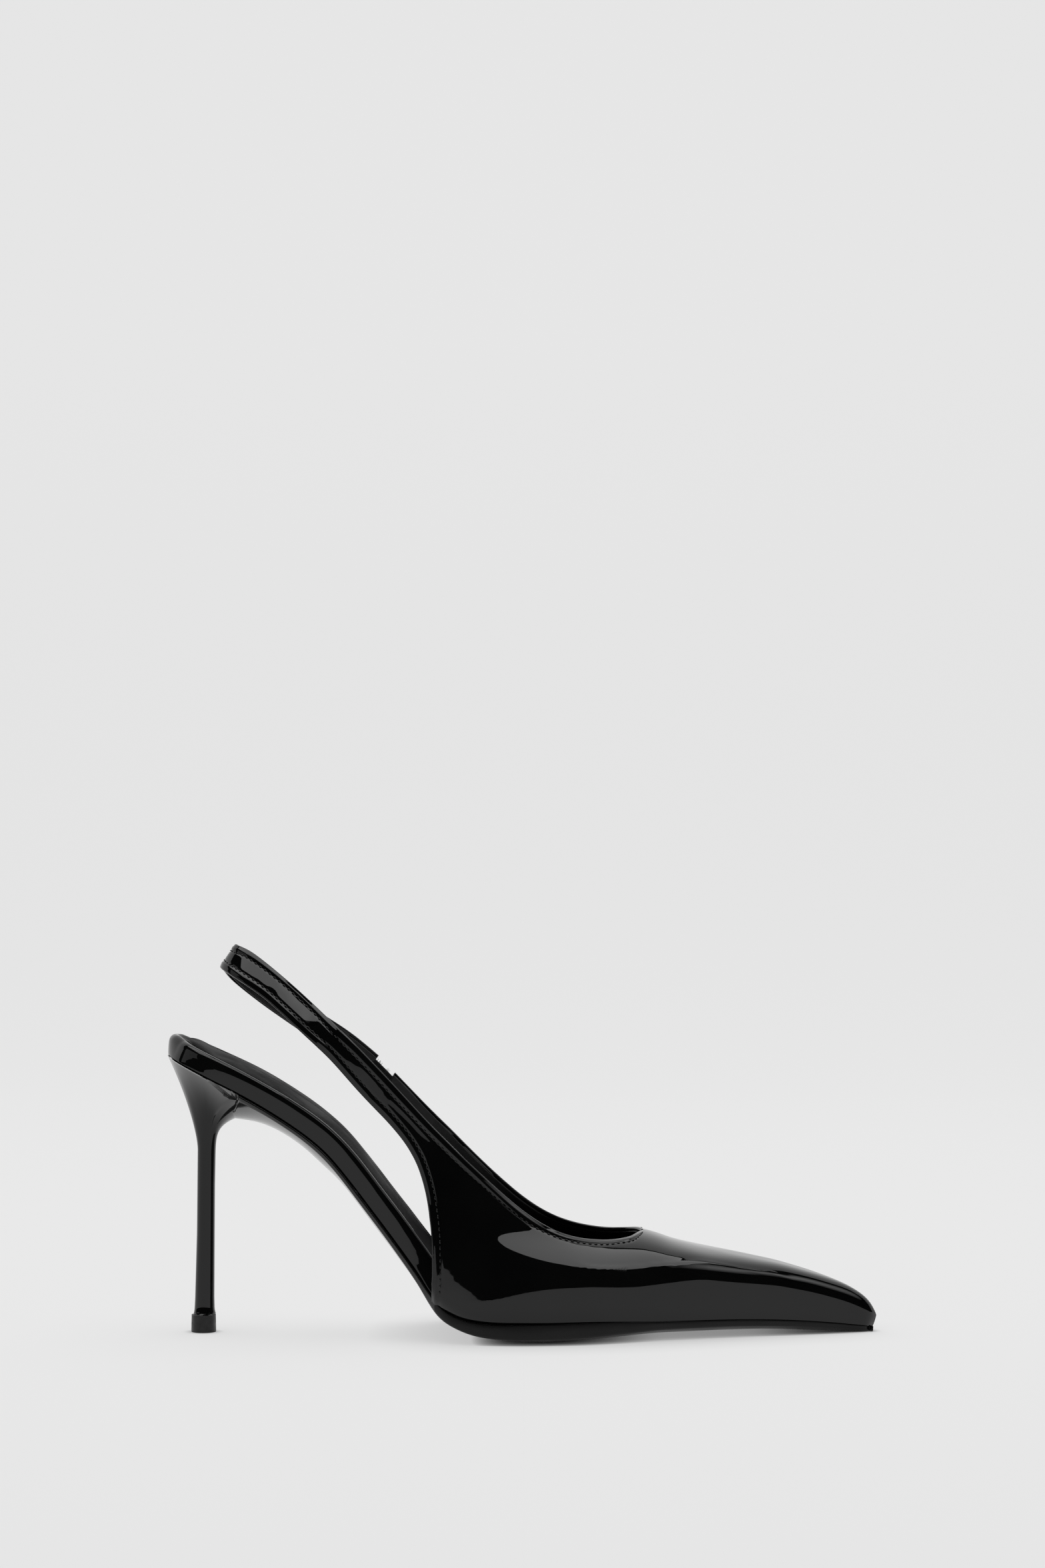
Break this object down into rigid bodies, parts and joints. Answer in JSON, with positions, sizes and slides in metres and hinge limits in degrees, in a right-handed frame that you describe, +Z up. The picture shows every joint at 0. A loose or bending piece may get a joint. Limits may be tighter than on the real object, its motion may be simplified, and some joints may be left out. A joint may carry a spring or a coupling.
{
  "type": "slingback stiletto pump",
  "caption": "Right-foot pointed slingback pump with a tall covered stiletto heel, open waist, one-piece vamp and a thin sling strap that swings at the wings.",
  "frame": {"origin": "on the floor, at the middle of the shoe's bounding box in plan", "axes": "+X towards the toe along the shoe's length, +Y towards the inner side of the right foot, +Z up from the floor"},
  "size_m": [0.2417, 0.0791, 0.1324],
  "materials": {
    "patent": "black patent leather, high gloss",
    "lining": "black smooth lining leather, satin",
    "sole": "black moulded sole, semi-gloss edge",
    "top_piece": "black hard polyurethane, matt",
    "heel_plastic": "moulded natural plastic",
    "steel": "bright drawn steel",
    "board": "compressed fibre board",
    "foam": "open-cell latex foam",
    "felt": "needled felt",
    "puff": "stiffened thermoplastic cloth",
    "tape": "woven nylon tape",
    "elastic": "black ribbed woven elastic"
  },
  "bodies": {
    "shoe": {"outsole": "sole", "shank_board": "board", "steel_shank": "steel", "shank_rivets": "steel", "insole_board": "board", "insole_wrap": "patent", "footbed_foam": "foam", "sock_lining": "lining", "bottom_filler": "felt", "vamp": "patent", "vamp_lining": "lining", "toe_puff": "puff", "heel_core": "heel_plastic", "heel_cover": "patent", "heel_tube": "steel", "heel_tip": "top_piece", "tip_dowel": "steel", "heel_screw": "steel", "heel_nails": "steel"},
    "sling": {"elastic_gore": "elastic", "strap_outer": "patent", "strap_tape": "tape", "strap_lining": "lining"}
  },
  "joints": [
    {"name": "strap_swing", "type": "hinge", "parent": "shoe", "child": "sling", "pos_m": [-0.05, 0, 0.085], "axis": [0, 1, 0], "range_deg": [-18, 20], "stiffness_Nm_per_rad": 0.06}
  ]
}
